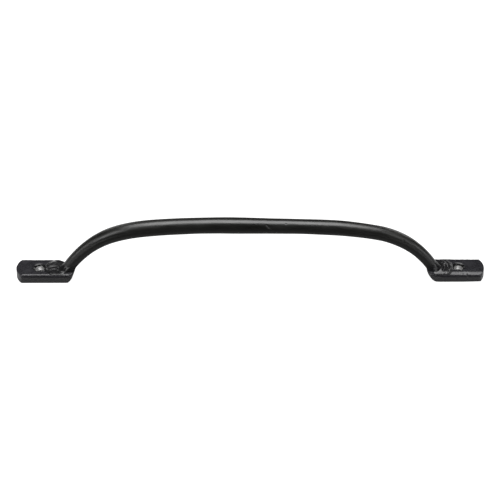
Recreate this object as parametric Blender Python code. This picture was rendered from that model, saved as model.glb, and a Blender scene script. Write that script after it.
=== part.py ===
"""Bow pull handle: a round bar bent into a bow, with each leg welded to a flat foot plate.

The frame is in metres. +X runs along the handle and +Z away from the surface that it is screwed to. The origin
is on that surface, midway between the outer ends of the two plates.
"""

import math

import bmesh
import bpy
from mathutils import Vector
from mathutils.geometry import interpolate_bezier

MM = 0.001
LEFT, RIGHT = -1, 1  # a side is also the sign of its X

HANDLE_LENGTH = 254 * MM
GAP = 0.3 * MM  # left between two pieces that touch

# Foot plates. Both ends are convex in plan, and the edges are lightly dressed.
FOOT_WIDTH = {LEFT: 14.5 * MM, RIGHT: 14 * MM}
FOOT_THICKNESS = 5.2 * MM
FOOT_LENGTH = {LEFT: 32.5 * MM, RIGHT: 31.4 * MM}
OUTER_END_RADIUS = {LEFT: 11 * MM, RIGHT: 12.5 * MM}
INNER_END_RADIUS = {LEFT: 13 * MM, RIGHT: 16 * MM}
END_STEPS = 12
FOOT_EDGE_RADIUS = 0.4 * MM
EDGE_TURNS = [math.radians(turn) for turn in (0, 45, 90)]
END_SLANT = {LEFT: 1.9 * MM, RIGHT: 0.6 * MM}  # how far the inner end leans back at its underside
RIGHT_UNDERSIDE_RADIUS = 4.4 * MM  # the right plate's inner end also turns under in this radius
UNDERSIDE_TURNS = [math.radians(turn) for turn in (18, 36, 54, 72, 90)]
DRESSED_FROM = 23 * MM  # from here inwards the left plate's back edge is ground away
DRESSED_SLOPE = 0.6
DRESSED_DEPTH = 2.2 * MM

# Screw holes, countersunk at 90 degrees
HOLE_INSET = {LEFT: 12.7 * MM, RIGHT: 13.9 * MM}  # from the plate's outer end
HOLE_RADIUS = 2.4 * MM
COUNTERSINK_RADIUS = 3.4 * MM
HOLE_SIDES = 48

# The bow's centreline in the XZ plane: a crown, two shoulders, and two legs that aim at the mounting surface.
# A pull is how far the Bezier handle reaches from its point.
CROWN = Vector((-10.5 * MM, 0, 32.8 * MM))
CROWN_PULL = 34 * MM
SHOULDER_X = 73.6 * MM
SHOULDER_Z = {LEFT: 26.9 * MM, RIGHT: 26.4 * MM}
SHOULDER_SLOPE = math.radians(20)
SHOULDER_INNER_PULL = 15 * MM
SHOULDER_OUTER_PULL = 11.7 * MM
LEG_X = {LEFT: 101.7 * MM, RIGHT: 102 * MM}
LEG_SLOPE = math.radians(63)
LEG_PULL = 16 * MM
LEG_SAMPLES = 200  # points at which a leg's centreline is measured

# The bar is fullest at the crown and drawn down towards both feet
CROWN_RADIUS = 4.35 * MM
SHOULDER_RADIUS = {LEFT: 4.25 * MM, RIGHT: 3.95 * MM}
LEG_RADIUS = {LEFT: 3.35 * MM, RIGHT: 3.15 * MM}
BAR_RINGS = 20  # in each of the four Bezier segments
BAR_ROUNDNESS = 10  # gives 24 sides
MERGE_DISTANCE = 0.001 * MM  # joins the tube's caps to its wall

# Root welds: a fillet that flares from the leg out to the plate's edges
ROOT_WELD_HEIGHT = 4.6 * MM
ROOT_WELD_LIP = 0.5 * MM  # how thick the fillet still is where it ends on the leg
ROOT_WELD_FLARE = (1.4 * MM, 2.8 * MM)  # how much further it reaches at the plate, along and across
ROOT_WELD_RINGS = 7

# Toe welds: low puddles on the plate beyond the root welds, centred this far along and across the plate
TOE_WELD_CENTRE = {LEFT: (22.9 * MM, 1.0 * MM), RIGHT: (23.0 * MM, -0.3 * MM)}
TOE_WELD_HALF_SIZE = {LEFT: (6.4 * MM, 5.6 * MM), RIGHT: (5.4 * MM, 4.8 * MM)}
TOE_WELD_HEIGHT = 1.2 * MM
TOE_WELD_RINGS = 4
TOE_WELD_DOME = math.radians(75)  # how far its sides curl over before the flat top

WELD_SIDES = 40
WELD_MARGIN = 0.15 * MM  # how far the welds stay inside the plate's edges
OVERSHOOT = 20 * MM  # how far a cutter runs past what it cuts
SHARP_ANGLE = math.radians(35)
METALLIC = 0.7


def clear_scene():
    for obj in list(bpy.data.objects):
        bpy.data.objects.remove(obj, do_unlink=True)


def steel(name, color, roughness):
    material = bpy.data.materials.new(name)
    material.use_nodes = True
    shader = material.node_tree.nodes["Principled BSDF"]
    shader.inputs["Base Color"].default_value = (*color, 1)
    shader.inputs["Roughness"].default_value = roughness
    shader.inputs["Metallic"].default_value = METALLIC
    return material


def add_object(name, bm, material=None):
    """Turns a bmesh into an object that is smooth except at its real edges."""
    bmesh.ops.recalc_face_normals(bm, faces=bm.faces)
    mesh = bpy.data.meshes.new(name)
    bm.to_mesh(mesh)
    bm.free()
    mesh.shade_smooth()
    mesh.set_sharp_from_angle(angle=SHARP_ANGLE)
    obj = bpy.data.objects.new(name, mesh)
    bpy.context.scene.collection.objects.link(obj)
    if material:
        mesh.materials.append(material)
    else:
        obj.hide_render = True
        obj.display_type = "WIRE"
    return obj


def combine(obj, operation, cutter):
    boolean = obj.modifiers.new(cutter.name, "BOOLEAN")
    boolean.operation = operation
    boolean.solver = "EXACT"
    boolean.object = cutter


def loft(rings):
    """A closed body through rings of points, from the lowest ring to the highest."""
    bm = bmesh.new()
    loops = [[bm.verts.new(point) for point in ring] for ring in rings]
    for lower, upper in zip(loops, loops[1:]):
        for i in range(len(lower)):
            bm.faces.new((lower[i - 1], lower[i], upper[i], upper[i - 1]))
    bm.faces.new(loops[0])
    bm.faces.new(loops[-1])
    return bm


def end_arc(radius, half_width):
    """(set-back, across) along the convex end of a plate, from its front edge to its back edge."""
    for i in range(END_STEPS + 1):
        across = half_width * (2 * i / END_STEPS - 1)
        yield radius - math.sqrt(radius**2 - across**2), across


def foot_outline(side, z, inner_set_back=0.0, margin=0.0):
    """The plate's outline at height z, with its inner end set back and every edge drawn in by margin."""
    half_width = FOOT_WIDTH[side] / 2 - margin
    inner_end = FOOT_LENGTH[side] - inner_set_back - margin
    outer = [(margin + back, y) for back, y in end_arc(OUTER_END_RADIUS[side], half_width)]
    inner = [(inner_end - back, y) for back, y in end_arc(INNER_END_RADIUS[side], half_width)]
    if side == LEFT:
        back_edge = half_width - DRESSED_DEPTH
        inner = [(u, min(y, back_edge)) for u, y in inner]
        inner += [(DRESSED_FROM + DRESSED_DEPTH / DRESSED_SLOPE, back_edge), (DRESSED_FROM, half_width)]
    outline = outer + inner[::-1]
    return [(side * (HANDLE_LENGTH / 2 - u), y, z) for u, y in outline]


def arc_inset(radius, depth):
    """How far a rounded edge of this radius is drawn in, at this depth below the face that it starts from."""
    return radius - math.sqrt(radius**2 - max(radius - depth, 0) ** 2)


def foot_rings(side):
    """Outlines of the plate from its underside up, with its edges and its inner end shaped."""
    edge = [FOOT_EDGE_RADIUS * (1 - math.cos(turn)) for turn in EDGE_TURNS]
    heights = edge + [FOOT_THICKNESS - z for z in edge]
    if side == RIGHT:
        heights += [RIGHT_UNDERSIDE_RADIUS * (1 - math.cos(turn)) for turn in UNDERSIDE_TURNS]
    for z in sorted(heights):
        set_back = END_SLANT[side] * (1 - z / FOOT_THICKNESS)
        if side == RIGHT:
            set_back += arc_inset(RIGHT_UNDERSIDE_RADIUS, z)
        yield foot_outline(side, z, set_back, arc_inset(FOOT_EDGE_RADIUS, min(z, FOOT_THICKNESS - z)))


def screw_hole(name, side):
    """Cutter for one screw hole: a bore that opens into a 90 degree countersink."""
    profile = [
        (-OVERSHOOT, HOLE_RADIUS),
        (FOOT_THICKNESS - COUNTERSINK_RADIUS + HOLE_RADIUS, HOLE_RADIUS),
        (FOOT_THICKNESS + COUNTERSINK_RADIUS, 2 * COUNTERSINK_RADIUS),
    ]
    x = side * (HANDLE_LENGTH / 2 - HOLE_INSET[side])
    rings = [ellipse(x, 0, z, radius, radius, HOLE_SIDES) for z, radius in profile]
    return add_object(name, loft(rings))


def ellipse(x, y, z, half_length, half_width, sides):
    turns = [2 * math.pi * i / sides for i in range(sides)]
    return [(x + half_length * math.cos(a), y + half_width * math.sin(a), z) for a in turns]


def add_foot(side, name, material):
    plate = add_object(name, loft(list(foot_rings(side))), material)
    combine(plate, "DIFFERENCE", screw_hole(name + "_hole_cutter", side))
    return plate


def half_bow(side):
    """(point, handle towards the foot, handle towards the crown, bar radius) at one leg's end and shoulder."""

    def climb(slope):
        return Vector((-side * math.cos(slope), 0, math.sin(slope)))

    leg = Vector((side * LEG_X[side], 0, 0))
    shoulder = Vector((side * SHOULDER_X, 0, SHOULDER_Z[side]))
    up_leg, up_shoulder = climb(LEG_SLOPE), climb(SHOULDER_SLOPE)
    return [
        (leg, leg - up_leg * LEG_PULL, leg + up_leg * LEG_PULL, LEG_RADIUS[side]),
        (
            shoulder,
            shoulder - up_shoulder * SHOULDER_OUTER_PULL,
            shoulder + up_shoulder * SHOULDER_INNER_PULL,
            SHOULDER_RADIUS[side],
        ),
    ]


def leg_at(side, z):
    """(x, slope) of a leg's centreline at height z."""
    (leg, _, leg_handle, _), (shoulder, shoulder_handle, _, _) = half_bow(side)
    path = interpolate_bezier(leg, leg_handle, shoulder_handle, shoulder, LEG_SAMPLES)
    for lower, upper in zip(path, path[1:]):
        if lower.z <= z < upper.z:
            step = upper - lower
            return lower.x + step.x * (z - lower.z) / step.z, math.atan2(step.z, abs(step.x))
    raise ValueError(f"the leg doesn't reach {z} m")


def bar_bmesh(clearance=0.0):
    """The bow as a closed tube that still runs down to the mounting surface."""
    curve = bpy.data.curves.new("bow", "CURVE")
    curve.dimensions = "3D"
    curve.resolution_u = BAR_RINGS
    curve.bevel_depth = MM
    curve.bevel_resolution = BAR_ROUNDNESS
    curve.use_fill_caps = True
    crown_pull = Vector((CROWN_PULL, 0, 0))
    points = [
        *half_bow(LEFT),
        (CROWN, CROWN - crown_pull, CROWN + crown_pull, CROWN_RADIUS),
        *((co, inner, outer, radius) for co, outer, inner, radius in reversed(half_bow(RIGHT))),
    ]
    spline = curve.splines.new("BEZIER")
    spline.bezier_points.add(len(points) - 1)
    for knot, (co, handle_left, handle_right, radius) in zip(spline.bezier_points, points):
        knot.handle_left_type = knot.handle_right_type = "FREE"
        knot.co = co
        knot.handle_left = handle_left
        knot.handle_right = handle_right
        knot.radius = (radius + clearance) / curve.bevel_depth
    guide = bpy.data.objects.new("bow", curve)
    bpy.context.scene.collection.objects.link(guide)
    tube = bpy.data.meshes.new_from_object(guide.evaluated_get(bpy.context.evaluated_depsgraph_get()))
    bpy.data.objects.remove(guide)
    bm = bmesh.new()
    bm.from_mesh(tube)
    bpy.data.meshes.remove(tube)
    bmesh.ops.remove_doubles(bm, verts=bm.verts, dist=MERGE_DISTANCE)
    return bm


def add_bar(name, material):
    """The bar, with both legs cut level so that they stand on the plates."""
    bm = bar_bmesh()
    seat = Vector((0, 0, FOOT_THICKNESS + GAP))
    whole = bm.verts[:] + bm.edges[:] + bm.faces[:]
    bmesh.ops.bisect_plane(bm, geom=whole, plane_co=seat, plane_no=(0, 0, 1), clear_inner=True)
    bmesh.ops.holes_fill(bm, edges=[edge for edge in bm.edges if edge.is_boundary])
    return add_object(name, bm, material)


def root_weld_rings(side, clearance=0.0):
    """Ellipses round the leg that draw in as they climb it."""
    base = FOOT_THICKNESS + GAP
    for i in range(ROOT_WELD_RINGS):
        climb = i / (ROOT_WELD_RINGS - 1)
        z = base + ROOT_WELD_HEIGHT * climb
        x, slope = leg_at(side, z)
        lip = LEG_RADIUS[side] + GAP + ROOT_WELD_LIP
        flare = (1 - climb) ** 2
        half_length = lip / math.sin(slope) + ROOT_WELD_FLARE[0] * flare + clearance
        half_width = lip + ROOT_WELD_FLARE[1] * flare + clearance
        if i == 0 and clearance:
            yield ellipse(x, 0, base - clearance, half_length, half_width, WELD_SIDES)
        yield ellipse(x, 0, z, half_length, half_width, WELD_SIDES)


def toe_weld_rings(side):
    """Ellipses that close in over a low dome."""
    along, across = TOE_WELD_CENTRE[side]
    half_length, half_width = TOE_WELD_HALF_SIZE[side]
    for i in range(TOE_WELD_RINGS):
        turn = TOE_WELD_DOME * i / (TOE_WELD_RINGS - 1)
        z = FOOT_THICKNESS + GAP + TOE_WELD_HEIGHT * math.sin(turn)
        x = side * (HANDLE_LENGTH / 2 - along)
        yield ellipse(x, across, z, half_length * math.cos(turn), half_width * math.cos(turn), WELD_SIDES)


def add_welds(side, root_name, toe_name, bar_cutter, material):
    floor, ceiling = (foot_outline(side, z, margin=WELD_MARGIN) for z in (0, OVERSHOOT))
    plate_area = add_object(root_name + "_plate_area", loft([floor, ceiling]))
    root = add_object(root_name, loft(list(root_weld_rings(side))), material)
    combine(root, "INTERSECT", plate_area)
    combine(root, "DIFFERENCE", bar_cutter)
    root_cutter = add_object(root_name + "_cutter", loft(list(root_weld_rings(side, GAP))))
    toe = add_object(toe_name, loft(list(toe_weld_rings(side))), material)
    combine(toe, "INTERSECT", plate_area)
    combine(toe, "DIFFERENCE", root_cutter)
    return [root, toe]


def main():
    clear_scene()
    black_iron = steel("black_iron", (0.022, 0.022, 0.024), 0.45)
    weld_metal = steel("weld_metal", (0.035, 0.035, 0.038), 0.4)
    bar_cutter = add_object("bar_cutter", bar_bmesh(GAP))
    pieces = [
        add_bar("grip_bar", black_iron),
        add_foot(LEFT, "left_foot_plate", black_iron),
        add_foot(RIGHT, "right_foot_plate", black_iron),
        *add_welds(LEFT, "left_root_weld", "left_toe_weld", bar_cutter, weld_metal),
        *add_welds(RIGHT, "right_root_weld", "right_toe_weld", bar_cutter, weld_metal),
    ]
    handle = bpy.data.objects.new("bow_pull_handle", None)
    bpy.context.scene.collection.objects.link(handle)
    for piece in pieces:
        piece.parent = handle


main()
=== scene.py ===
import math

import bmesh
import bpy
import numpy as np
from mathutils import Matrix, Vector, noise
from mathutils.geometry import interpolate_bezier


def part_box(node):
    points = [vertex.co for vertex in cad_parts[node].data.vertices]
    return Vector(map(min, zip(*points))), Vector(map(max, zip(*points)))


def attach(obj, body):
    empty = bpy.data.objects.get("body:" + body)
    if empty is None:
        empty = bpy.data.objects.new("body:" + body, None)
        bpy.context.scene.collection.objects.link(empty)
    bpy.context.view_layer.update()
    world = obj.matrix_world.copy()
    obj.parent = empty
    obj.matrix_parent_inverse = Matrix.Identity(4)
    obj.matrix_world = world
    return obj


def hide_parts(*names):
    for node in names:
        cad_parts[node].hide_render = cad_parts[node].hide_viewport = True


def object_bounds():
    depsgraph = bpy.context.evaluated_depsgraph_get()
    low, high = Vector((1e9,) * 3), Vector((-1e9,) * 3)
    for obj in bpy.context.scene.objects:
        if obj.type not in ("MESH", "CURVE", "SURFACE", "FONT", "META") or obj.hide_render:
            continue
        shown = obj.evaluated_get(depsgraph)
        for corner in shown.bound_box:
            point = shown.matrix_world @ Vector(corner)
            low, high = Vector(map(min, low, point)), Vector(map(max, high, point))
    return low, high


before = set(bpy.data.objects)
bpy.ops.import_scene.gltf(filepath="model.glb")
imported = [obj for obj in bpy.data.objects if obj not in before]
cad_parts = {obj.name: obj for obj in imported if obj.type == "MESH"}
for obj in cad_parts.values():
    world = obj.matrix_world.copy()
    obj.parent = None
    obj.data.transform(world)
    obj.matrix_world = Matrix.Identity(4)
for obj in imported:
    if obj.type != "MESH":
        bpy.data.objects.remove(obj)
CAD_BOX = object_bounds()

# Looks of a hand-forged bow pull handle in black iron: a drawn round bar welded to two drilled foot plates.
# Lengths are in metres, written as millimetres times MM, unless a comment says millimetres. A side is also
# the sign of its X. The front is -Y.
MM = 0.001
LEFT, RIGHT = -1, 1
NAMES = {LEFT: "left", RIGHT: "right"}
HALF_LENGTH = CAD_BOX[1].x
BAR_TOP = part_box("grip_bar")[1].z
PLATE_BOX = {side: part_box(NAMES[side] + "_foot_plate") for side in NAMES}
PLATE_TOP = PLATE_BOX[LEFT][1].z
PLATE_WIDTH = {side: high.y - low.y for side, (low, high) in PLATE_BOX.items()}
PLATE_LENGTH = {side: high.x - low.x for side, (low, high) in PLATE_BOX.items()}

# The bow's centreline, as in the CAD
CROWN_RADIUS = 4.35 * MM
CROWN = Vector((-10.5 * MM, 0, BAR_TOP - CROWN_RADIUS))
CROWN_PULL = 34 * MM
SHOULDER_X = 73.6 * MM
SHOULDER_Z = {LEFT: 26.9 * MM, RIGHT: 26.4 * MM}
SHOULDER_SLOPE = math.radians(20)
SHOULDER_INNER_PULL = 15 * MM
SHOULDER_OUTER_PULL = 11.7 * MM
LEG_X = {LEFT: 101.7 * MM, RIGHT: 102 * MM}
LEG_SLOPE = math.radians(63)
LEG_PULL = 16 * MM

# Hand-drawn unevenness of the bar: (x, diameter) and (x, rise of the centreline), in millimetres
FORGED_DIAMETERS = [
    (-101, 6.55), (-95, 6.8), (-85, 7.5), (-76, 8.3), (-70, 8.65), (-57, 8.9), (-42, 8.9), (-27, 8.6),
    (-16, 8.8), (-6, 8.9), (5, 8.45), (16, 8.2), (27, 8.05), (38, 8.2), (50, 8.25), (60, 8.05), (70, 7.8),
    (80, 7.75), (84, 7.5), (90, 6.95), (101, 6.3),
]
FORGED_RISES = [
    (-99, -0.1), (-90, -0.35), (-72, 0.1), (-48, -0.17), (-18, 0.18), (10, -0.15), (49, 0.17), (66, -0.1),
    (78, 0.15), (90, 0.3), (99, 0.1),
]
BAR_STEP = 0.4 * MM
BAR_SIDES = 96
CURVE_POINTS = 400  # on each stretch of the bow, before they are spaced evenly
FORGED_BLUR = 14  # how far the unevenness is smoothed to either side, in steps
FRACTAL = (0.8, 2.0)  # how fast the finer noise fades, and how much finer each octave is

# Tool marks on the bar: x, angle from its top towards its front, half length, half width, twist, depth, in
# millimetres and degrees
BAR_NICKS = [
    (9.9, 64, 1.6, 0.42, 48, 0.6),
    (19.2, 38, 0.45, 0.4, 0, 0.16),
    (-31.0, 70, 0.9, 0.3, 15, 0.08),
    (81.5, 56, 0.8, 0.5, 70, 0.22),
    (85.2, 48, 0.5, 0.3, 30, 0.14),
    (87.4, 55, 0.4, 0.3, -20, 0.12),
    (-84.5, 65, 0.8, 0.3, 80, 0.1),
]
# The lip that a nick throws up: its height as a share of the depth, and its place and width in nick sizes
NICK_LIP = 0.18
NICK_LIP_REACH = 1.6
NICK_LIP_WIDTH = 0.4

# How far the bar's surface swells and dips: size across, height
BAR_LUMPS = (5 * MM, 0.05 * MM)
BAR_RIPPLES = (1.6 * MM, 0.012 * MM)
HAMMER_DISHES = (4.5 * MM, 0.05 * MM)
DRAWN_OUT = (1, 1, 0.45)  # its unevenness is drawn out along the bar
BAR_SEAT = 0.05 * MM  # the bar is cut this far above the plates


def blur_weights(reach):
    """Weights that fade out over `reach` steps to either side."""
    weights = np.hanning(2 * reach + 3)
    return weights / weights.sum()


def interpolated(table, x):
    """Smoothly blended values of an (x, value) table in millimetres, in metres."""
    xs, values = zip(*table)
    weights = blur_weights(FORGED_BLUR)
    padded = np.pad(np.interp(x / MM, xs, values), len(weights) // 2, mode="edge")
    return np.convolve(padded, weights, "valid") * MM


def evenly_spaced(points, step):
    """Points every `step` along a line of points."""
    lengths = np.r_[0, np.cumsum(np.linalg.norm(np.diff(points, axis=0), axis=1))]
    stations = np.arange(0, lengths[-1], step)
    return np.stack([np.interp(stations, lengths, values) for values in points.T], -1)


def eased(share):
    """From 0 to 1 as share goes from 0 to 1, level at both ends."""
    share = np.clip(share, 0, 1)
    return share * share * (3 - 2 * share)


def rays(turns):
    """Level directions at these angles."""
    return np.stack([np.cos(turns), np.sin(turns)], -1)


def noise_field(points, size, detail=1, shift=0.0):
    """Perlin noise about `size` metres across, at each point, from about -1 to 1."""
    offset = Vector((shift, 2 * shift, -shift))
    if detail == 1:
        return np.array([noise.noise(Vector(p) / size + offset) for p in points])
    return np.array([noise.fractal(Vector(p) / size + offset, *FRACTAL, detail) for p in points])


def unit(vectors):
    return vectors / np.linalg.norm(vectors, axis=-1, keepdims=True)


def mesh_object(name, vertices, faces, materials):
    mesh = bpy.data.meshes.new(name)
    mesh.from_pydata(vertices.tolist(), [], faces)
    for material in materials:
        mesh.materials.append(material)
    obj = bpy.data.objects.new(name, mesh)
    bpy.context.scene.collection.objects.link(obj)
    return obj


def ring_faces(count, sides, wrap=False):
    """Quads between rings of points. With wrap the last ring joins the first; else both ends are capped."""
    index = np.arange(count * sides).reshape(count, sides)
    rows = np.vstack([index, index[:1]]) if wrap else index
    near, far = rows[:-1], rows[1:]
    faces = np.stack([near, np.roll(near, -1, 1), np.roll(far, -1, 1), far], -1).reshape(-1, 4).tolist()
    if not wrap:
        faces += [index[0][::-1].tolist(), index[-1].tolist()]
    return faces


def set_attribute(mesh, name, values):
    kind = "FLOAT" if values.ndim == 1 else "FLOAT_VECTOR"
    attribute = mesh.attributes.new(name, kind, "POINT")
    attribute.data.foreach_set("value" if values.ndim == 1 else "vector", values.astype(np.float32).ravel())


def outward(obj):
    """Turns all faces outwards and shades them smooth."""
    bm = bmesh.new()
    bm.from_mesh(obj.data)
    bmesh.ops.recalc_face_normals(bm, faces=bm.faces)
    bm.to_mesh(obj.data)
    bm.free()
    obj.data.shade_smooth()


def vertex_normals(obj):
    normals = np.zeros(len(obj.data.vertices) * 3)
    obj.data.vertices.foreach_get("normal", normals)
    return normals.reshape(-1, 3)


def vertex_places(obj):
    places = np.zeros(len(obj.data.vertices) * 3)
    obj.data.vertices.foreach_get("co", places)
    return places.reshape(-1, 3)


def move_vertices(obj, places):
    obj.data.vertices.foreach_set("co", places.ravel())
    obj.data.update()


# ---------------------------------------------------------------- bar


def half_bow(side):
    """(point, handle towards the foot, handle towards the crown) at one leg's end and shoulder."""

    def climb(slope):
        return Vector((-side * math.cos(slope), 0, math.sin(slope)))

    leg = Vector((side * LEG_X[side], 0, 0))
    shoulder = Vector((side * SHOULDER_X, 0, SHOULDER_Z[side]))
    leg_pull = climb(LEG_SLOPE) * LEG_PULL
    outer_pull = climb(SHOULDER_SLOPE) * SHOULDER_OUTER_PULL
    inner_pull = climb(SHOULDER_SLOPE) * SHOULDER_INNER_PULL
    return [(leg, leg - leg_pull, leg + leg_pull), (shoulder, shoulder - outer_pull, shoulder + inner_pull)]


def bow_path():
    """Evenly spaced points along the bar's forged centreline."""
    crown_pull = Vector((CROWN_PULL, 0, 0))
    knots = [
        *half_bow(LEFT),
        (CROWN, CROWN - crown_pull, CROWN + crown_pull),
        *((co, inner, outer) for co, outer, inner in reversed(half_bow(RIGHT))),
    ]
    points = []
    for (start, _, start_handle), (end, end_handle, _) in zip(knots, knots[1:]):
        points += interpolate_bezier(start, start_handle, end_handle, end, CURVE_POINTS)[:-1]
    path = evenly_spaced(np.array(points + [knots[-1][0]]), BAR_STEP)
    path[:, 2] += interpolated(FORGED_RISES, path[:, 0])
    return path


def bar_relief(along, turns, radius):
    """How far the bar stands out from round at each ring and side, and the same points on a straight bar."""
    straight = np.stack(
        [
            np.cos(turns)[None, :] * radius[:, None],
            np.sin(turns)[None, :] * radius[:, None],
            np.broadcast_to(along[:, None], (len(along), len(turns))),
        ],
        -1,
    )
    flat = straight.reshape(-1, 3)
    stretched = flat * DRAWN_OUT
    lumps = noise_field(stretched, BAR_LUMPS[0], shift=3.1) * BAR_LUMPS[1]
    ripples = noise_field(stretched, BAR_RIPPLES[0], 2, shift=7.7) * BAR_RIPPLES[1]
    planished = np.array([noise.voronoi(Vector(p) / HAMMER_DISHES[0])[0][0] for p in stretched])
    dishes = np.clip(planished, 0, 1) ** 2 * HAMMER_DISHES[1]
    return (lumps + ripples + dishes).reshape(len(along), -1), straight


def nick_depth(along, turns, radius, path_x):
    """Depth of the tool marks at each ring and side."""
    depth = np.zeros((len(along), len(turns)))
    for x, angle, half_length, half_width, twist, deepest in BAR_NICKS:
        at = np.argmin(abs(path_x - x * MM))
        across = (turns - math.radians(angle) + math.pi) % (2 * math.pi) - math.pi
        a = (across[None, :] * radius[:, None]) / MM
        b = ((along - along[at])[:, None]) / MM
        cos, sin = math.cos(math.radians(twist)), math.sin(math.radians(twist))
        lengthwise, sideways = b * cos + a * sin, a * cos - b * sin
        depth += deepest * MM * np.exp(-((lengthwise / half_length) ** 2) - (sideways / half_width) ** 2)
        lip = ((lengthwise / half_length) ** 2 + (sideways / half_width) ** 2) ** 0.5 - NICK_LIP_REACH
        depth -= NICK_LIP * deepest * MM * np.exp(-((lip / NICK_LIP_WIDTH) ** 2))
    return depth


def bar_frame():
    """Path, its up normals, its radius and the distance along it."""
    path = bow_path()
    tangent = unit(np.gradient(path, axis=0))
    up = np.stack([-tangent[:, 2], np.zeros(len(path)), tangent[:, 0]], -1)
    radius = interpolated(FORGED_DIAMETERS, path[:, 0]) / 2
    return path, up, radius, np.arange(len(path)) * BAR_STEP


FORGED = bar_frame()


def add_bar(material):
    path, up, radius, along = FORGED
    turns = np.linspace(0, 2 * math.pi, BAR_SIDES, endpoint=False)
    relief, straight = bar_relief(along, turns, radius)
    height = radius[:, None] + relief - nick_depth(along, turns, radius, path[:, 0])
    front = np.array([0, -1, 0])
    direction = np.cos(turns)[None, :, None] * up[:, None] + np.sin(turns)[None, :, None] * front
    rings = path[:, None] + direction * height[..., None]
    bar = mesh_object("forged_bar", rings.reshape(-1, 3), ring_faces(len(path), BAR_SIDES), [material])
    set_attribute(bar.data, "bar_space", straight.reshape(-1, 3))
    bm = bmesh.new()
    bm.from_mesh(bar.data)
    seat = Vector((0, 0, PLATE_TOP + BAR_SEAT))
    whole = bm.verts[:] + bm.edges[:] + bm.faces[:]
    bmesh.ops.bisect_plane(bm, geom=whole, plane_co=seat, plane_no=(0, 0, 1), clear_inner=True)
    bmesh.ops.holes_fill(bm, edges=[edge for edge in bm.edges if edge.is_boundary])
    bm.to_mesh(bar.data)
    bm.free()
    outward(bar)
    return bar


def leg_section(side, z):
    """(x of the leg's axis, half length, half width) of the bar's level section at height z."""
    path, _, radius, _ = FORGED
    outside = side * path[:, 0] > SHOULDER_X
    leg = np.flatnonzero(outside[:-1] & outside[1:])
    i = leg[np.argmin(abs(path[leg, 2] - z))]
    step = path[i + 1] - path[i]
    slope = math.atan2(abs(step[2]), abs(step[0]))
    x = path[i, 0] + step[0] * (z - path[i, 2]) / step[2]
    return x, radius[i] / math.sin(slope), radius[i]


# ---------------------------------------------------------------- foot plates

HOLE_INSET = {LEFT: 12.7 * MM, RIGHT: 13.9 * MM}
HOLE_RADIUS = 2.4 * MM
COUNTERSINK_RADIUS = 3.4 * MM
OUTER_END_RADIUS = {LEFT: 11 * MM, RIGHT: 12.5 * MM}
INNER_END_RADIUS = {LEFT: 13 * MM, RIGHT: 16 * MM}
END_SKEW = {LEFT: 0.05, RIGHT: 0.0}  # the outer end isn't quite square: it reaches further out at the back
END_SLANT = {LEFT: 1.9 * MM, RIGHT: 0.6 * MM}
RIGHT_UNDERSIDE_RADIUS = 4.4 * MM
DRESSED_FROM = 23 * MM
DRESSED_SLOPE = 0.6
DRESSED_DEPTH = 2.2 * MM
# Radii of the upper edges, and of the front ones: where the surface still faces up, and where it faces out
EDGE_RADII = (0.3 * MM, 0.3 * MM)
FRONT_EDGE_RADII = {LEFT: (1.55 * MM, 1.5 * MM), RIGHT: (0.8 * MM, 1.0 * MM)}
EDGE_TILTS = np.radians([90, 86, 82, 77, 72, 66, 60, 54, 48, 41, 34, 26, 18, 9, 0])
EDGE_CHANGE = math.radians(50)
FRONT_SAG = 1.3 * MM  # how far the right plate's top sags to its front edge
SAG_FROM = -3.5 * MM
FRONT_FROM, FRONT_OVER = 0.65, 0.25  # the front edges' radii come in over this share of the half width
LOWER_EDGE_RADIUS = 0.3 * MM
WORKED_FROM = 98.3 * MM  # the right plate's front edge is worked from here outwards
WORKED_OVER = 2.2 * MM
LIP_RADII = (3.0 * MM, 4.3 * MM)  # the plate rounds over into its countersink between these radii
LIP_RINGS = 16
LIP_CURVE = 1.2  # how the lip's slope eases out to the flat
CONE_SPAN = (0.06, 0.9)  # the countersink's rings lie between these shares of its depth
CONE_CURVE = 1.15
BURR = 0.18 * MM
BLACK_MARGIN = 0.2 * MM  # how far the dark black reaches past the countersink
# The bore is bare between these heights. Above them it takes the countersink's dark black, and below them the
# same black is painted shade in the bore's deep end
BARE_BORE = {LEFT: (1.6 * MM, 4.2 * MM), RIGHT: (1.3 * MM, 4.0 * MM)}
OUTLINE_STEP = 0.2 * MM
OUTLINE_BLUR = 2  # how far its corners are softened to either side, in steps
END_POINTS = 41
PLATE_SIDES = 380
BORE_RINGS = 18
CONE_RINGS = 7
TOP_RINGS = 56
WALL_RINGS = 16
EDGE_RINGS = 9
UNDER_RINGS = 8
LEVELS = 25
# Unevenness of the plates' faces: size across, height
PLATE_WAVES = (7 * MM, 0.07 * MM)
PLATE_SCALE = (2.2 * MM, 0.022 * MM)
EDGE_SCALE = (1.5 * MM, 0.05 * MM)
PLATE_SETTLE = 0.02 * MM
SETTLE_OVER = 1.5 * MM  # the faces grow uneven over this distance from the countersink
# The right plate's outer end lifts its underside a little
LIFTED_LENGTH = 14 * MM
LIFT = 0.5 * MM
LIFT_CURVE = 1.5
WORN_TOE = 0.6  # how worn the lower edges are, where the upper ones are 1

# Marks on the plates, in millimetres: side, place, half size, depth
PLATE_MARKS = [
    (RIGHT, (117.8, -7, 5.0), (0.55, 1.4, 0.8), 0.5),
    (RIGHT, (115.9, -5.6, 5.2), (1.1, 0.6, 0.7), 0.14),
    (RIGHT, (101.2, -7, 4.3), (2.0, 1.3, 0.6), 0.6),
    (RIGHT, (103.4, -7, 3.0), (0.28, 1.4, 1.0), 0.4),
    (LEFT, (-99.6, -7.2, 2.9), (0.35, 1.5, 1.3), 0.2),
    (LEFT, (-98.4, -7.2, 2.9), (0.35, 1.5, 1.3), 0.25),
    (LEFT, (-119.8, 2.0, 5.2), (0.25, 1.6, 0.6), 0.05),
    (LEFT, (-119.6, -2.4, 5.2), (0.22, 1.2, 0.6), 0.05),
    (LEFT, (-107.0, 7.2, 4.8), (0.9, 1.2, 0.8), 0.25),
]


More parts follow.
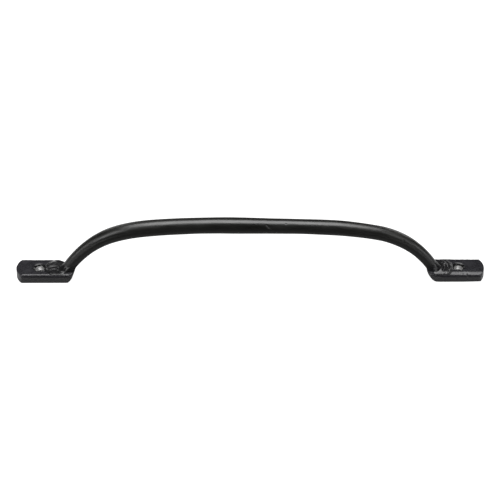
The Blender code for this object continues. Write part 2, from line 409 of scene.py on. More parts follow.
def plate_outline(side, inner_set_back, margin):
    """The plate's outline, evenly stepped with softened corners, as (x, y)."""
    half_width = PLATE_WIDTH[side] / 2 - margin
    inner_end = PLATE_LENGTH[side] - inner_set_back - margin
    across = np.linspace(-half_width, half_width, END_POINTS)

    def set_back(radius):
        return radius - np.sqrt(radius**2 - across**2)

    outer = np.stack([margin + set_back(OUTER_END_RADIUS[side]) - END_SKEW[side] * across, across], -1)
    inner = np.stack([inner_end - set_back(INNER_END_RADIUS[side]), across], -1)
    if side == LEFT:
        back_edge = half_width - DRESSED_DEPTH
        inner[:, 1] = np.minimum(inner[:, 1], back_edge)
        corner = [(DRESSED_FROM + DRESSED_DEPTH / DRESSED_SLOPE, back_edge), (DRESSED_FROM, half_width)]
        inner = np.vstack([inner, corner])
    loop = evenly_spaced(np.vstack([outer, inner[::-1], outer[:1]]), OUTLINE_STEP)
    weights = blur_weights(OUTLINE_BLUR)
    shifts = np.arange(len(weights)) - len(weights) // 2
    loop = sum(np.roll(loop, shift, axis=0) * weight for shift, weight in zip(shifts, weights))
    return np.stack([side * (HALF_LENGTH - loop[:, 0]), loop[:, 1]], -1)


def reach_of(outline, centre, turns):
    """How far an outline lies from centre in each direction."""
    spokes = outline - centre
    angles = np.arctan2(spokes[:, 1], spokes[:, 0])
    order = np.argsort(angles)
    return np.interp(turns, angles[order], np.linalg.norm(spokes, axis=1)[order], period=2 * math.pi)


def arc_inset(radius, depth):
    return radius - math.sqrt(radius**2 - max(radius - depth, 0) ** 2)


def plate_level(side, z, margin):
    """The plate's outline at height z."""
    set_back = END_SLANT[side] * (1 - z / PLATE_TOP)
    if side == RIGHT:
        set_back += arc_inset(RIGHT_UNDERSIDE_RADIUS, z)
    return plate_outline(side, set_back, margin)


def edge_profile(radii):
    """How far an upper edge has dropped and how far it is still drawn in, at each tilt."""
    upper, lower = radii
    middle = (EDGE_TILTS[:-1] + EDGE_TILTS[1:]) / 2
    turn = EDGE_TILTS[:-1] - EDGE_TILTS[1:]
    radius = np.where(middle > EDGE_CHANGE, upper, lower)
    drops = np.r_[0, np.cumsum(radius * np.cos(middle) * turn)]
    reached = np.r_[0, np.cumsum(radius * np.sin(middle) * turn)]
    return drops, reached[-1] - reached


def hole_centre(side):
    return np.array([side * (HALF_LENGTH - HOLE_INSET[side]), 0])


def plate_rings(side):
    """Rings round the screw hole, by kind: up the bore, over the top, down the walls and back below."""
    centre = hole_centre(side)
    spokes = plate_outline(side, 0, 0)
    spokes = spokes[np.linspace(0, len(spokes), PLATE_SIDES, endpoint=False).astype(int)] - centre
    turns = np.sort(np.arctan2(spokes[:, 1], spokes[:, 0]))
    ray = rays(turns)

    levels = np.linspace(0, PLATE_TOP, LEVELS)
    reaches = np.array([reach_of(plate_level(side, z, 0), centre, turns) for z in levels])
    per_margin = (reaches[-1] - reach_of(plate_level(side, PLATE_TOP, MM), centre, turns)) / MM

    def circle(radius, z):
        return np.column_stack([centre + ray * radius, np.full(len(turns), z)])

    def level(z, margin):
        """A ring on the wall at height z, drawn in by margin. Either may differ from spoke to spoke."""
        z = np.broadcast_to(z, turns.shape)
        share = np.clip(z / PLATE_TOP, 0, 1) * (LEVELS - 1)
        lower = np.minimum(share.astype(int), LEVELS - 2)
        spoke = np.arange(len(turns))
        reach = reaches[lower, spoke] * (1 - share + lower) + reaches[lower + 1, spoke] * (share - lower)
        return np.column_stack([centre + ray * (reach - margin * per_margin)[:, None], z])

    lip_reach = np.linspace(*LIP_RADII, LIP_RINGS)
    lip_slope = math.pi / 4 * np.linspace(1, 0, LIP_RINGS) ** LIP_CURVE
    fall = np.tan(lip_slope[:-1] / 2 + lip_slope[1:] / 2) * np.diff(lip_reach)
    lip_height = PLATE_TOP - np.r_[np.cumsum(fall[::-1])[::-1], 0]
    sink = LIP_RADII[0] - HOLE_RADIUS
    bore = [circle(HOLE_RADIUS + BURR, 0), circle(HOLE_RADIUS, BURR)]
    bore += [circle(HOLE_RADIUS, z) for z in np.linspace(BURR, lip_height[0] - sink - BURR, BORE_RINGS)[1:]]
    climbs = np.linspace(*CONE_SPAN, CONE_RINGS)
    cone = [circle(HOLE_RADIUS + sink * t**CONE_CURVE, lip_height[0] - sink * (1 - t)) for t in climbs]
    rim = [circle(reach, z) for reach, z in zip(lip_reach, lip_height)]
    edge = centre + ray * reaches[-1][:, None]
    front = eased((-edge[:, 1] / (PLATE_WIDTH[side] / 2) - FRONT_FROM) / FRONT_OVER)
    if side == RIGHT:
        front = front * past_leg(edge[:, 0])
    plain, worked = edge_profile(EDGE_RADII), edge_profile(FRONT_EDGE_RADII[side])
    drops, margins = (a[:, None] + (b - a)[:, None] * front for a, b in zip(plain, worked))
    shoulder = [level(PLATE_TOP - drop, margin) for drop, margin in zip(drops, margins)]
    top = [rim[-1] + (shoulder[0] - rim[-1]) * t for t in np.linspace(0, 1, TOP_RINGS + 2)[1:-1]]
    wall_top, wall_foot = PLATE_TOP - drops[-1], LOWER_EDGE_RADIUS
    wall = [level(wall_top + (wall_foot - wall_top) * t, 0) for t in np.linspace(0, 1, WALL_RINGS)[1:]]
    turned = np.linspace(0, math.pi / 2, EDGE_RINGS)[1:]
    toe = [level(wall_foot * (1 - math.sin(a)), wall_foot * (1 - math.cos(a))) for a in turned]
    under = [toe[-1] + (bore[0] - toe[-1]) * t for t in np.linspace(0, 1, UNDER_RINGS + 2)[1:-1]]
    return dict(bore=bore, cone=cone, rim=rim, top=top, shoulder=shoulder, wall=wall, toe=toe, under=under)


def front_sag(side, x, y):
    """How far the plate's top has sagged at x and y."""
    if side == LEFT:
        return np.zeros_like(y)
    across = np.clip((SAG_FROM - y) / (PLATE_WIDTH[side] / 2 + SAG_FROM), 0, 1)
    return FRONT_SAG * across**2 * past_leg(x)


def past_leg(x):
    """From 0 at the right leg to 1 beyond it, where the front edge is worked."""
    return eased((x - WORKED_FROM) / WORKED_OVER)


def marks_depth(places, side):
    """Depth of the plate's marks at each point."""
    depth = np.zeros(len(places))
    for marked, centre, half_size, deepest in PLATE_MARKS:
        if marked == side:
            off = (places / MM - centre) / half_size
            depth += deepest * MM * np.exp(-(off**2).sum(1))
    return depth


def add_plate(side, iron, black_and_shade, steel):
    groups = plate_rings(side)
    rings = np.array([ring for group in groups.values() for ring in group])
    kinds = np.repeat(list(groups), [len(group) for group in groups.values()])
    name = NAMES[side] + "_forged_foot"
    faces = ring_faces(len(rings), PLATE_SIDES, wrap=True)
    plate = mesh_object(name, rings.reshape(-1, 3), faces, [iron, black_and_shade, steel])
    reach = np.linalg.norm(rings[:, 0, :2] - hole_centre(side), axis=1)
    # The dark black goes on the countersink and, as painted shade, on the bore below its bare band
    black_or_painted_shade = np.isin(kinds, ["bore", "cone", "rim"]) & (reach < COUNTERSINK_RADIUS + BLACK_MARGIN)
    low, high = BARE_BORE[side]
    bare = np.isin(kinds, ["bore", "cone"]) & (rings[:, 0, 2] > low) & (rings[:, 0, 2] < high)
    finishes = np.repeat(np.select([bare, black_or_painted_shade], [2, 1], 0), PLATE_SIDES)
    plate.data.polygons.foreach_set("material_index", finishes.astype(np.int32))
    outward(plate)
    places, normals = vertex_places(plate), vertex_normals(plate)
    kind = np.repeat(kinds, PLATE_SIDES)
    free = np.isin(kind, ["rim", "top", "shoulder", "wall"])
    relief = noise_field(places, PLATE_WAVES[0], shift=1.7 * side) * PLATE_WAVES[1]
    relief += noise_field(places, PLATE_SCALE[0], 3, shift=5.3) * PLATE_SCALE[1]
    edge_relief = noise_field(places, EDGE_SCALE[0], 2, shift=9.9) * EDGE_SCALE[1]
    relief += np.where(kind == "shoulder", edge_relief, 0)
    near_hole = np.linalg.norm(places[:, :2] - hole_centre(side), axis=1)
    settle = np.clip((near_hole - COUNTERSINK_RADIUS) / SETTLE_OVER, 0, 1)
    relief = np.where(free, (relief - PLATE_SETTLE) * settle - marks_depth(places, side), 0)
    places += normals * relief[:, None]
    if side == RIGHT:
        outer = np.clip((places[:, 0] - (HALF_LENGTH - LIFTED_LENGTH)) / LIFTED_LENGTH, 0, 1)
        places[:, 2] += LIFT * outer**LIFT_CURVE * (1 - places[:, 2] / PLATE_TOP)
    places[:, 2] -= front_sag(side, places[:, 0], places[:, 1]) * places[:, 2] / PLATE_TOP
    move_vertices(plate, places)
    worn = np.select([kind == "shoulder", kind == "toe"], [1.0, WORN_TOE], 0.0)
    # The walls mask carries painted reflection: the plate material greys the walls to stand for the floor
    # they mirror
    walls = np.isin(kind, ["wall", "toe"]).astype(float)
    set_attribute(plate.data, "worn", worn)
    set_attribute(plate.data, "walls", walls)
    return plate


# ---------------------------------------------------------------- welds

WELD_SINK = 0.12 * MM  # how far a weld runs into what it is fused to
ROOT_HEIGHT = {LEFT: 4.4 * MM, RIGHT: 4.2 * MM}
ROOT_SIDES = 220
ROOT_RINGS = 44
ROOT_LEVELS = 15
ROOT_SPAN = 7 * MM  # the leg is measured up to this far above the plate
ROOT_REACH = 0.9  # in millimetres
ROOT_MARGIN = 0.55 * MM  # how far the weld stays inside the plate's outline
FILLET_POWER = 2.1
ROOT_RIDGE = 0.03 * MM
ROOT_RIPPLES = 9  # half waves up the weld, which sway up and down round it
RIPPLE_SWAY = 2
ROOT_SETTLE = 3 * MM  # a weld sags with the plate's front and less so up to this height
# A root weld is closed inside the leg: its hole has this radius at its foot, and this share of its top ring
INNER_RADIUS = 2.2 * MM
INNER_SHARE = 0.7
WELD_LUMPS = (1.6 * MM, 0.06 * MM)
# Where a root weld reaches further out: angle (0 along +X, 90 to the back), half angle, reach, extra height,
# in degrees and millimetres
ROOT_LOBES = {
    LEFT: [
        (-115, 18, 1.7, -1.2),
        (-30, 35, 0.7, 0.6),
        (95, 30, 0.8, 0.2),
        (0, 40, 0.5, 2.6),
        (200, 30, 0.4, -1.0),
    ],
    RIGHT: [
        (-70, 30, 0.7, -0.4),
        (-110, 20, 0.3, 0.0),
        (95, 25, 0.6, 0.0),
        (180, 40, 0.4, 2.2),
    ],
}


def lobes(side, degrees):
    """How far a root weld reaches from the leg, and how much higher it climbs, in each direction."""
    reach, rise = np.full(len(degrees), ROOT_REACH), np.zeros(len(degrees))
    for angle, half_angle, extra, height in ROOT_LOBES[side]:
        off = (degrees - angle + 180) % 360 - 180
        share = np.exp(-((off / half_angle) ** 2))
        reach += extra * share
        rise += height * share
    return reach * MM, rise * MM


def add_root_weld(side, material):
    turns = np.linspace(-math.pi, math.pi, ROOT_SIDES, endpoint=False)
    ray = rays(turns)
    reach, rise = lobes(side, np.degrees(turns))
    base_x = leg_section(side, PLATE_TOP)[0]
    edge = reach_of(plate_level(side, PLATE_TOP, ROOT_MARGIN), np.array([base_x, 0]), turns)
    levels = np.linspace(PLATE_TOP, PLATE_TOP + ROOT_SPAN, ROOT_LEVELS)
    sections = np.array([leg_section(side, z) for z in levels])
    rings = []
    for climb in np.linspace(0, 1, ROOT_RINGS):
        height = PLATE_TOP + (ROOT_HEIGHT[side] + rise) * climb
        x, half_length, half_width = (np.interp(height, levels, sections[:, i]) for i in range(3))
        bar = 1 / np.sqrt((ray[:, 0] / half_length) ** 2 + (ray[:, 1] / half_width) ** 2)
        fillet = reach * (1 - climb) ** FILLET_POWER
        ripple = np.sin(climb * ROOT_RIPPLES * math.pi + RIPPLE_SWAY * np.sin(2 * turns))
        ridge = ROOT_RIDGE * ripple * (1 - climb) ** 0.5 * climb**0.3
        out = bar + np.maximum(fillet + ridge, 0) - WELD_SINK * climb**3
        out = np.minimum(out, edge)
        rings.append(np.column_stack([x + ray[:, 0] * out, ray[:, 1] * out, height]))
    rings = np.array(rings)
    flat = rings.reshape(-1, 3)
    lumps = noise_field(flat, WELD_LUMPS[0], 2, shift=4.4) * WELD_LUMPS[1]
    fade = np.repeat(np.sin(np.linspace(0, 1, ROOT_RINGS) * math.pi) ** 0.5, ROOT_SIDES)
    centre = np.column_stack([np.repeat(rings[:, :, 0].mean(1), ROOT_SIDES), np.zeros(len(flat))])
    outwards = unit(flat[:, :2] - centre)
    flat[:, :2] += outwards * (lumps * fade)[:, None]
    settled = np.clip(1 - (flat[:, 2] - PLATE_TOP) / ROOT_SETTLE, 0, 1)
    flat[:, 2] -= front_sag(side, flat[:, 0], flat[:, 1]) * settled
    rings = flat.reshape(ROOT_RINGS, ROOT_SIDES, 3)
    foot = rings[0].copy()
    foot[:, 2] = PLATE_TOP - WELD_SINK
    inner_foot = foot.copy()
    inner_foot[:, :2] = (base_x, 0) + ray * INNER_RADIUS
    inner = rings[-1].copy()
    middle = inner[:, :2].mean(0)
    inner[:, :2] = middle + (inner[:, :2] - middle) * INNER_SHARE
    rings = np.concatenate([[inner_foot, foot], rings, [inner]])
    name = NAMES[side] + "_root_fillet"
    weld = mesh_object(name, rings.reshape(-1, 3), ring_faces(len(rings), ROOT_SIDES, wrap=True), [material])
    outward(weld)
    return weld


TOE_SIDES = 240
TOE_RINGS = 110
# A toe weld's middle, and how far it spreads along and across
TOE_CENTRE = {LEFT: (-105.0 * MM, 0.0), RIGHT: (104.2 * MM, -0.3 * MM)}
TOE_SPREAD = {LEFT: (6.6 * MM, 7.4 * MM), RIGHT: (6.0 * MM, 8.0 * MM)}
TOE_WANDER = 0.07  # how much its border wanders, as a share of the spread
TOE_WAVES = 3  # how often it does
TOE_FIRST_RING = 0.004  # the innermost ring's share of the spread, and how the others are spaced from it
TOE_RING_CURVE = 0.85
TOE_MARGIN = 0.7 * MM
TOE_BORDER = 1.1  # in millimetres: how gently the weld metal runs out on the plate
TOE_GRAIN = (1.2 * MM, 0.035)  # size across in metres, height in millimetres

# All of these are in millimetres and degrees. A toe weld's thickness:
TOE_THICKNESS = {LEFT: 0.22, RIGHT: 0.2}
# The beads on it: middle, radii, start and end angle, half width, height
TOE_ARCS = {
    LEFT: [
        ((-105.6, -0.6), (5.4, 6.4), 80, 262, 0.5, 0.42),
        ((-106.4, -2.5), (3.8, 3.9), 15, 180, 0.45, 0.5),
        ((-106.2, -3.6), (2.4, 2.2), 20, 160, 0.4, 0.16),
    ],
    RIGHT: [
        ((99.3, -0.2), (5.9, 5.9), -50, 58, 0.5, 0.14),
        ((99.3, -0.2), (7.7, 7.7), -50, 58, 0.5, 0.16),
        ((99.3, -0.2), (9.4, 9.4), -50, 58, 0.5, 0.15),
    ],
}
# Its drops and hollows: middle, radius, height
TOE_BUMPS = {
    LEFT: [
        ((-104.6, 4.0), 1.5, 0.25),
        ((-100.9, -4.6), 1.2, 0.5),
        ((-103.4, -0.9), 0.8, -0.25),
        ((-102.0, -2.6), 0.8, -0.25),
    ],
    RIGHT: [((105.7, 2.6), 0.55, 0.4), ((107.9, -3.0), 0.55, 0.4)],
}
BEAD_FADE = 14
# The right toe weld also rises from the front edge to a crest, which runs back and outwards from the leg
RAMP_FOOT = -6.4
RAMP_SLOPE = 0.56
CREST_START = (99.6, -6.2)
CREST_RUN = (4.3, 3.5)
CREST_FALL = 2.4
RAMP_END = 105.4
RAMP_FADE = 1.8


def arc_ridge(x, y, centre, radii, start, end, half_width, height):
    """A rounded bead along an elliptical arc, from the start angle to the end angle in degrees."""
    dx, dy = (x - centre[0]) / radii[0], (y - centre[1]) / radii[1]
    middle, half = (start + end) / 2, (end - start) / 2
    off = abs((np.degrees(np.arctan2(dy, dx)) - middle + 180) % 360 - 180)
    fade = np.clip((half - off) / BEAD_FADE, 0, 1)
    across = (np.hypot(dx, dy) - 1) * min(radii)
    return height * fade * np.exp(-((across / half_width) ** 2))


def bump(x, y, centre, radius, height):
    """A round drop of weld metal, or a hollow where the height is negative."""
    return height * np.exp(-((np.hypot(x - centre[0], y - centre[1]) / radius) ** 2))


def toe_height(side, x, y):
    """Height of the weld metal above the plate, in millimetres, at x and y in millimetres."""
    height = np.full(len(x), TOE_THICKNESS[side])
    for arc in TOE_ARCS[side]:
        height += arc_ridge(x, y, *arc)
    for drop in TOE_BUMPS[side]:
        height += bump(x, y, *drop)
    if side == RIGHT:
        crest = CREST_START[1] + CREST_RUN[1] * np.clip((x - CREST_START[0]) / CREST_RUN[0], 0, 1)
        foot = np.full(len(x), RAMP_FOOT)
        sag, foot_sag = (front_sag(side, x * MM, place * MM) / MM for place in (y, foot))
        ramp = sag - foot_sag + RAMP_SLOPE * (y - foot)
        ramp -= CREST_FALL * np.maximum(y - crest, 0)
        height = np.maximum(height, ramp * np.clip((RAMP_END - x) / RAMP_FADE, 0, 1))
    return height


def add_toe_weld(side, material):
    turns = np.linspace(-math.pi, math.pi, TOE_SIDES, endpoint=False)
    ray = rays(turns)
    centre = np.array(TOE_CENTRE[side])
    along, across = TOE_SPREAD[side]
    waves = np.array([noise.noise(Vector((*TOE_WAVES * direction, side))) for direction in ray])
    wander = 1 + TOE_WANDER * waves
    edge = wander / np.sqrt((ray[:, 0] / along) ** 2 + (ray[:, 1] / across) ** 2)
    plate = reach_of(plate_level(side, PLATE_TOP, TOE_MARGIN), centre, turns)
    edge = np.minimum(edge, plate)
    shares = np.linspace(TOE_FIRST_RING, 1, TOE_RINGS) ** TOE_RING_CURVE
    plan = centre + ray[None] * (edge[None] * shares[:, None])[..., None]
    x, y = plan[..., 0].ravel() / MM, plan[..., 1].ravel() / MM
    height = toe_height(side, x, y)
    flat = np.column_stack([x, y, np.zeros(len(x))]) * MM
    height += noise_field(flat, TOE_GRAIN[0], 2, shift=8.8) * TOE_GRAIN[1]
    inwards = ((1 - shares[:, None]) * edge[None] / MM).ravel()
    run_out = np.clip(inwards / TOE_BORDER, 0, 1)
    height *= run_out * (2 - run_out)
    height = np.where(inwards <= 0, -WELD_SINK / MM, height)
    rise = PLATE_TOP + height * MM - front_sag(side, flat[:, 0], flat[:, 1])
    rings = np.column_stack([flat[:, :2], rise]).reshape(TOE_RINGS, TOE_SIDES, 3)
    under = rings[-1].copy()
    under[:, 2] -= WELD_SINK
    rings = np.concatenate([rings, [under]])
    name = NAMES[side] + "_toe_bead"
    weld = mesh_object(name, rings.reshape(-1, 3), ring_faces(len(rings), TOE_SIDES), [material])
    outward(weld)
    return weld


# ---------------------------------------------------------------- materials


class Nodes:
    """Short calls for building one material's node tree."""

    def __init__(self, name):
        self.material = bpy.data.materials.new(name)
        self.material.use_nodes = True
        self.tree = self.material.node_tree
        self.shader = self.tree.nodes["Principled BSDF"]
        self.place = self.add("ShaderNodeTexCoord").outputs["Object"]

    def add(self, kind, **inputs):
        node = self.tree.nodes.new(kind)
        for key, value in inputs.items():
            self.set(node.inputs[key.replace("_", " ")], value)
        return node

    def set(self, socket, value):
        if isinstance(value, bpy.types.NodeSocket):
            self.tree.links.new(value, socket)
        else:
            socket.default_value = value

    def noise(self, size, detail=3, rough=0.55, stretch=None, place=None):
        """Noise with features about `size` metres across."""
        place = place or self.place
        if stretch:
            place = self.add("ShaderNodeMapping", Vector=place, Scale=stretch).outputs["Vector"]
        node = self.add("ShaderNodeTexNoise", Vector=place, Scale=1 / size, Detail=detail, Roughness=rough)
        return node.outputs["Fac"]

    def cells(self, size, place=None):
        node = self.add("ShaderNodeTexVoronoi", Vector=place or self.place, Scale=1 / size)
        return node.outputs["Distance"]

    def attribute(self, name, output="Fac"):
        node = self.tree.nodes.new("ShaderNodeAttribute")
        node.attribute_name = name
        return node.outputs[output]

    def remap(self, value, from_low, from_high, to_low=0.0, to_high=1.0):
        node = self.tree.nodes.new("ShaderNodeMapRange")
        for socket, number in zip(node.inputs[1:5], (from_low, from_high, to_low, to_high)):
            socket.default_value = number
        self.set(node.inputs[0], value)
        return node.outputs["Result"]

    def maths(self, operation, *values):
        node = self.tree.nodes.new("ShaderNodeMath")
        node.operation = operation
        for socket, value in zip(node.inputs, values):
            self.set(socket, value)
        return node.outputs[0]

    def split(self, vector):
        return self.add("ShaderNodeSeparateXYZ", Vector=vector).outputs

    def blend(self, factor, a, b):
        node = self.tree.nodes.new("ShaderNodeMix")
        node.data_type = "RGBA"
        self.set(node.inputs["Factor"], factor)
        self.set(node.inputs[6], (*a, 1) if isinstance(a, tuple) else a)
        self.set(node.inputs[7], (*b, 1) if isinstance(b, tuple) else b)
        return node.outputs[2]

    def bump(self, height, distance, strength=1.0, over=None):
        node = self.add("ShaderNodeBump", Height=height, Strength=strength, Distance=distance)
        if over:
            self.set(node.inputs["Normal"], over)
        return node.outputs["Normal"]

    def finish(self, color, roughness, normal, metallic=0.0, ior=1.5):
        self.set(self.shader.inputs["Base Color"], color)
        self.set(self.shader.inputs["Roughness"], roughness)
        self.set(self.shader.inputs["Normal"], normal)
        self.set(self.shader.inputs["Metallic"], metallic)
        self.set(self.shader.inputs["IOR"], ior)
        return self.material


# The bar's black turns neutral and even on its way down from the first height to the second
LOW_FROM, LOW_TO = 24 * MM, 8 * MM


def bar_iron():
    """Waxed black iron, drawn lengthwise, of a slightly warm black that is neutral at the legs."""
    n = Nodes("black_iron_bar")
    straight = n.attribute("bar_space", "Vector")
    drawn = n.noise(0.5 * MM, 4, stretch=(1, 1, 0.06), place=straight)
    patches = n.noise(9 * MM, 3, place=straight, stretch=(1, 1, 0.4))
    grain = n.noise(0.35 * MM, 3)
    pits = n.remap(n.cells(1.7 * MM), 0.0, 0.16)
    low = n.remap(n.split(n.place)["Z"], LOW_FROM, LOW_TO)
    color = n.blend(n.remap(patches, 0.35, 0.7), (0.0042, 0.0042, 0.0031), (0.0078, 0.0077, 0.0062))
    color = n.blend(n.remap(drawn, 0.58, 0.8, 0.0, 0.6), color, (0.014, 0.0137, 0.0125))
    color = n.blend(n.remap(low, 0, 1, 0, 0.75), color, (0.006, 0.006, 0.0063))
    roughness = n.maths("ADD", n.remap(patches, 0.3, 0.7, 0.27, 0.39), n.remap(drawn, 0.3, 0.8, -0.03, 0.08))
    normal = n.bump(drawn, 0.02 * MM, 0.5)
    normal = n.bump(grain, 0.02 * MM, 0.35, over=normal)
    normal = n.bump(pits, 0.05 * MM, 0.35, over=normal)
    return n.finish(color, roughness, normal, ior=1.65)


def plate_iron():
    """Hammered black iron with a dull, faintly blue skin, rubbed along its edges, and greyer on its walls as
    a painted reflection of the floor.
    """
    n = Nodes("black_iron_plate")
    patches = n.noise(5 * MM, 4)
    scale = n.noise(1.1 * MM, 4, 0.65)
    grain = n.noise(0.3 * MM, 2)
    scuffs = n.noise(0.35 * MM, 4, stretch=(0.08, 1, 1))
    worn = n.maths("MULTIPLY", n.attribute("worn"), n.remap(scale, 0.38, 0.62))
    color = n.blend(n.remap(patches, 0.35, 0.68), (0.011, 0.0107, 0.013), (0.02, 0.0194, 0.0232))
    color = n.blend(n.remap(scuffs, 0.55, 0.78, 0.0, 0.5), color, (0.028, 0.0272, 0.0308))
    color = n.blend(n.remap(worn, 0, 1, 0.0, 0.5), color, (0.022, 0.0215, 0.024))
    # Painted reflection: the walls are greyer in colour to stand for the floor they mirror
    color = n.blend(n.remap(n.attribute("walls"), 0, 1, 0.0, 0.8), color, (0.068, 0.0675, 0.07))
    roughness = n.maths("ADD", n.remap(patches, 0.3, 0.7, 0.24, 0.34), n.remap(scale, 0.3, 0.7, -0.03, 0.05))
    normal = n.bump(scale, 0.04 * MM, 0.4)
    normal = n.bump(scuffs, 0.012 * MM, 0.5, over=normal)
    normal = n.bump(grain, 0.015 * MM, 0.4, over=normal)
    return n.finish(color, roughness, normal, ior=1.52)


def dark_countersink_and_bore_shade():
    """Very dark, dull black in the countersinks, also used as painted shade down the bore's deep end, with a
    few lighter spots.
    """
    n = Nodes("countersink_black_and_painted_shade")
    patches = n.noise(1.4 * MM, 4)
    grain = n.noise(0.25 * MM, 3)
    color = n.blend(n.remap(patches, 0.4, 0.7), (0.0025, 0.0025, 0.0026), (0.007, 0.0069, 0.0071))
    roughness = n.remap(patches, 0.3, 0.7, 0.18, 0.27)
    normal = n.bump(patches, 0.05 * MM, 0.4)
    normal = n.bump(grain, 0.015 * MM, 0.4, over=normal)
    return n.finish(color, roughness, normal, ior=1.42)


def weld_iron():
    """Blackened weld metal: rippled, a little shinier on its crests, with spatter grain."""
    n = Nodes("black_weld_metal")
    patches = n.noise(2.5 * MM, 4)
    ripple = n.noise(0.7 * MM, 4, 0.6)
    grain = n.noise(0.22 * MM, 2)
    spatter = n.remap(n.cells(0.9 * MM), 0.0, 0.25, 1.0, 0.0)
    color = n.blend(n.remap(patches, 0.35, 0.65), (0.0035, 0.0034, 0.0038), (0.0085, 0.0083, 0.009))
    color = n.blend(n.remap(ripple, 0.55, 0.75, 0.0, 0.6), color, (0.018, 0.0175, 0.019))
    roughness = n.maths("ADD", n.remap(patches, 0.3, 0.7, 0.24, 0.34), n.remap(ripple, 0.3, 0.7, 0.06, -0.05))
    normal = n.bump(ripple, 0.05 * MM, 0.4)
    normal = n.bump(spatter, 0.03 * MM, 0.3, over=normal)
    normal = n.bump(grain, 0.02 * MM, 0.4, over=normal)
    return n.finish(color, roughness, normal, ior=1.55)


def bore_steel():
    """Bare drilled steel with the drill's rings and a few dark stains."""
    n = Nodes("bare_steel_bore")
    rings = n.noise(0.18 * MM, 3, stretch=(0.12, 0.12, 1))
    stains = n.noise(1.3 * MM, 4)
    color = n.blend(n.remap(stains, 0.4, 0.7), (0.62, 0.62, 0.615), (0.4, 0.398, 0.392))
    color = n.blend(n.remap(rings, 0.5, 0.75, 0.0, 0.5), color, (0.26, 0.255, 0.25))
    roughness = n.remap(stains, 0.3, 0.7, 0.38, 0.55)
    normal = n.bump(rings, 0.04 * MM, 0.6)
    return n.finish(color, roughness, normal, metallic=0.75)


# ---------------------------------------------------------------- stage


FLOOR_HALF = 4.0
FLOOR_GLOW = 0.98
# Colours of the dim table that the iron mirrors: painted shade in front of the handle, lighter behind it, and
# painted light in the bright spots
FLOOR_FRONT, FLOOR_BEHIND, FLOOR_PAINTED_LIGHT = (0.1, 0.1, 0.1), (0.24, 0.24, 0.24), (0.8, 0.8, 0.8)
FRONT_TO, BEHIND_FROM = -45 * MM, -10 * MM
# Painted light on the table the iron mirrors: a bright round spot behind each foot, and past the feet's ends
SPOT = (122 * MM, 30 * MM)
SPOT_RADII = (28 * MM, 16 * MM)
PAST_ENDS = (125 * MM, 131 * MM)


def add_floor():
    """A white light table. Only the camera sees it lit from below: the iron mirrors a dim table, with painted
    shade in front of the handle and painted pools of light behind the feet and past their ends.
    """
    half = FLOOR_HALF
    corners = [(-half, -half, 0), (half, -half, 0), (half, half, 0), (-half, half, 0)]
    floor = mesh_object("floor", np.array(corners), [[0, 1, 2, 3]], [])
    n = Nodes("white_floor")
    tree = n.tree
    x, y = n.split(n.place)[:2]
    x = n.maths("ABSOLUTE", x)
    # Painted shade in front of the handle, lighter behind it
    color = n.blend(n.remap(y, FRONT_TO, BEHIND_FROM), FLOOR_FRONT, FLOOR_BEHIND)
    along = n.maths("POWER", n.maths("SUBTRACT", x, SPOT[0]), 2.0)
    across = n.maths("POWER", n.maths("SUBTRACT", y, SPOT[1]), 2.0)
    from_spot = n.maths("SQRT", n.maths("ADD", along, across))
    # Painted pools of light behind the feet and past their ends
    painted_light = n.maths("MAXIMUM", n.remap(from_spot, *SPOT_RADII), n.remap(x, *PAST_ENDS))
    n.set(n.shader.inputs["Base Color"], n.blend(painted_light, color, FLOOR_PAINTED_LIGHT))
    n.set(n.shader.inputs["Roughness"], 0.9)
    n.set(n.shader.inputs["Specular IOR Level"], 0.0)
    glow = n.add("ShaderNodeEmission", Strength=FLOOR_GLOW)
    lit = n.add("ShaderNodeAddShader")
    tree.links.new(n.shader.outputs[0], lit.inputs[0])
    tree.links.new(glow.outputs[0], lit.inputs[1])
    path = n.add("ShaderNodeLightPath")
    mix = n.add("ShaderNodeMixShader", Fac=path.outputs["Is Camera Ray"])
    tree.links.new(n.shader.outputs[0], mix.inputs[1])
    tree.links.new(lit.outputs[0], mix.inputs[2])
    tree.links.new(mix.outputs[0], tree.nodes["Material Output"].inputs["Surface"])
    floor.data.materials.append(n.material)


GLOW_RADIANCE = 5.5
GLOW_SIZE = {LEFT: 1.0 * HOLE_RADIUS, RIGHT: 0.92 * HOLE_RADIUS}
GLOW_SET_FORWARD = 0.45 * HOLE_RADIUS
GLOW_HEIGHT = 0.05 * MM
SURROUND = (0.055, 0.055, 0.058, 1)
# Azimuth (0 is the front and 90 the right), elevation (past 90 is behind), distance, size, radiance
SOFTBOXES = {
    "overhead_softbox": (0, 92.5, 0.66, (0.6, 0.49), 5.5),
    "left_softbox": (-78, 16, 0.8, (0.2, 0.3), 2.4),
    "left_key": (-52, 35, 0.8, (0.22, 0.4), 4.0),
    "right_softbox": (76, 15, 0.8, (0.18, 0.3), 2.6),
    "right_key": (56, 36, 0.8, (0.2, 0.35), 2.2),
    "left_rim_card": (-150, 20, 0.9, (0.3, 0.3), 1.6),
    "right_rim_card": (145, 16, 0.9, (0.35, 0.3), 2.4),
}


def area_light(name, shape, location):
    light = bpy.data.lights.new(name, "AREA")
    light.shape = shape
    lamp = bpy.data.objects.new(name, light)
    bpy.context.scene.collection.objects.link(lamp)
    lamp.location = location
    return lamp, light


def add_softbox(name, azimuth, elevation, distance, size, radiance):
    """A flat light that faces the handle."""
    turn, climb = math.radians(azimuth), math.radians(elevation)
    level = math.cos(climb)
    direction = Vector((math.sin(turn) * level, -math.cos(turn) * level, math.sin(climb)))
    lamp, light = area_light(name, "RECTANGLE", distance * direction)
    light.size, light.size_y = size
    light.energy = radiance * math.pi * size[0] * size[1]
    lamp.rotation_euler = (-lamp.location).to_track_quat("-Z", "Y").to_euler()


def add_hole_glow(side):
    """The white table's light that comes up through a screw hole."""
    x, y = hole_centre(side)
    lamp, light = area_light(NAMES[side] + "_hole_glow", "DISK", (x, y - GLOW_SET_FORWARD, GLOW_HEIGHT))
    light.size = GLOW_SIZE[side]
    light.energy = GLOW_RADIANCE * math.pi * math.pi * (light.size / 2) ** 2
    lamp.rotation_euler = (math.pi, 0, 0)


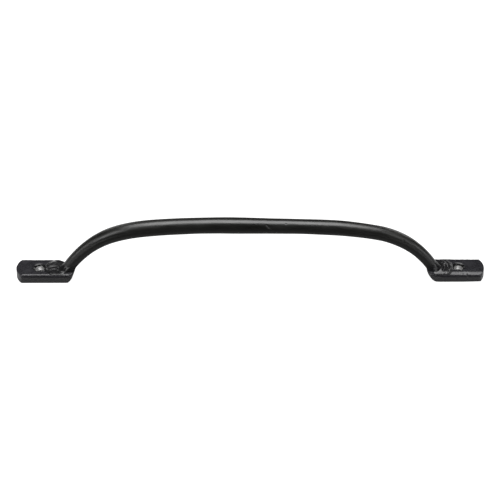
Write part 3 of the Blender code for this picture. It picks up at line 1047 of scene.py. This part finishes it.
def add_lights():
    for name, values in SOFTBOXES.items():
        add_softbox(name, *values)
    for side in NAMES:
        add_hole_glow(side)
    world = bpy.data.worlds.new("studio")
    bpy.context.scene.world = world
    world.use_nodes = True
    background = world.node_tree.nodes["Background"]
    background.inputs["Color"].default_value = SURROUND
    background.inputs["Strength"].default_value = 1.0


# ---------------------------------------------------------------- camera

CAMERA_ELEVATION = math.radians(36)
CAMERA_ROLL = math.radians(-0.13)
CAMERA_DISTANCE = 1.1343
CAMERA_SHIFT = (-0.07 * MM, 13.47 * MM)  # to its right and up
CAMERA_LENS, SENSOR_WIDTH = 150, 36


def add_camera():
    data = bpy.data.cameras.new("camera")
    data.lens, data.sensor_width = CAMERA_LENS, SENSOR_WIDTH
    camera = bpy.data.objects.new("camera", data)
    bpy.context.scene.collection.objects.link(camera)
    cos, sin = math.cos(CAMERA_ELEVATION), math.sin(CAMERA_ELEVATION)
    right, up, back = Vector((1, 0, 0)), Vector((0, sin, cos)), Vector((0, -cos, sin))
    turned_right = right * math.cos(CAMERA_ROLL) + up * math.sin(CAMERA_ROLL)
    turned_up = up * math.cos(CAMERA_ROLL) - right * math.sin(CAMERA_ROLL)
    place = back * CAMERA_DISTANCE + turned_right * CAMERA_SHIFT[0] + turned_up * CAMERA_SHIFT[1]
    camera.matrix_world = Matrix(
        [
            (turned_right.x, turned_up.x, back.x, place.x),
            (turned_right.y, turned_up.y, back.y, place.y),
            (turned_right.z, turned_up.z, back.z, place.z),
            (0, 0, 0, 1),
        ]
    )
    bpy.context.scene.camera = camera


# ---------------------------------------------------------------- the handle

bar_finish, weld_finish = bar_iron(), weld_iron()
plate_finishes = plate_iron(), dark_countersink_and_bore_shade(), bore_steel()
pieces = [(add_bar(bar_finish), "grip_bar", "black_iron")]
for side, name in NAMES.items():
    pieces.append((add_plate(side, *plate_finishes), name + "_foot_plate", "black_iron"))
    pieces.append((add_root_weld(side, weld_finish), name + "_root_weld", "weld_metal"))
    pieces.append((add_toe_weld(side, weld_finish), name + "_toe_weld", "weld_metal"))
for piece, node, slot in pieces:
    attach(piece, "root")
    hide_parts(node)

add_floor()
add_lights()
add_camera()
bpy.context.scene.view_settings.view_transform = "Standard"
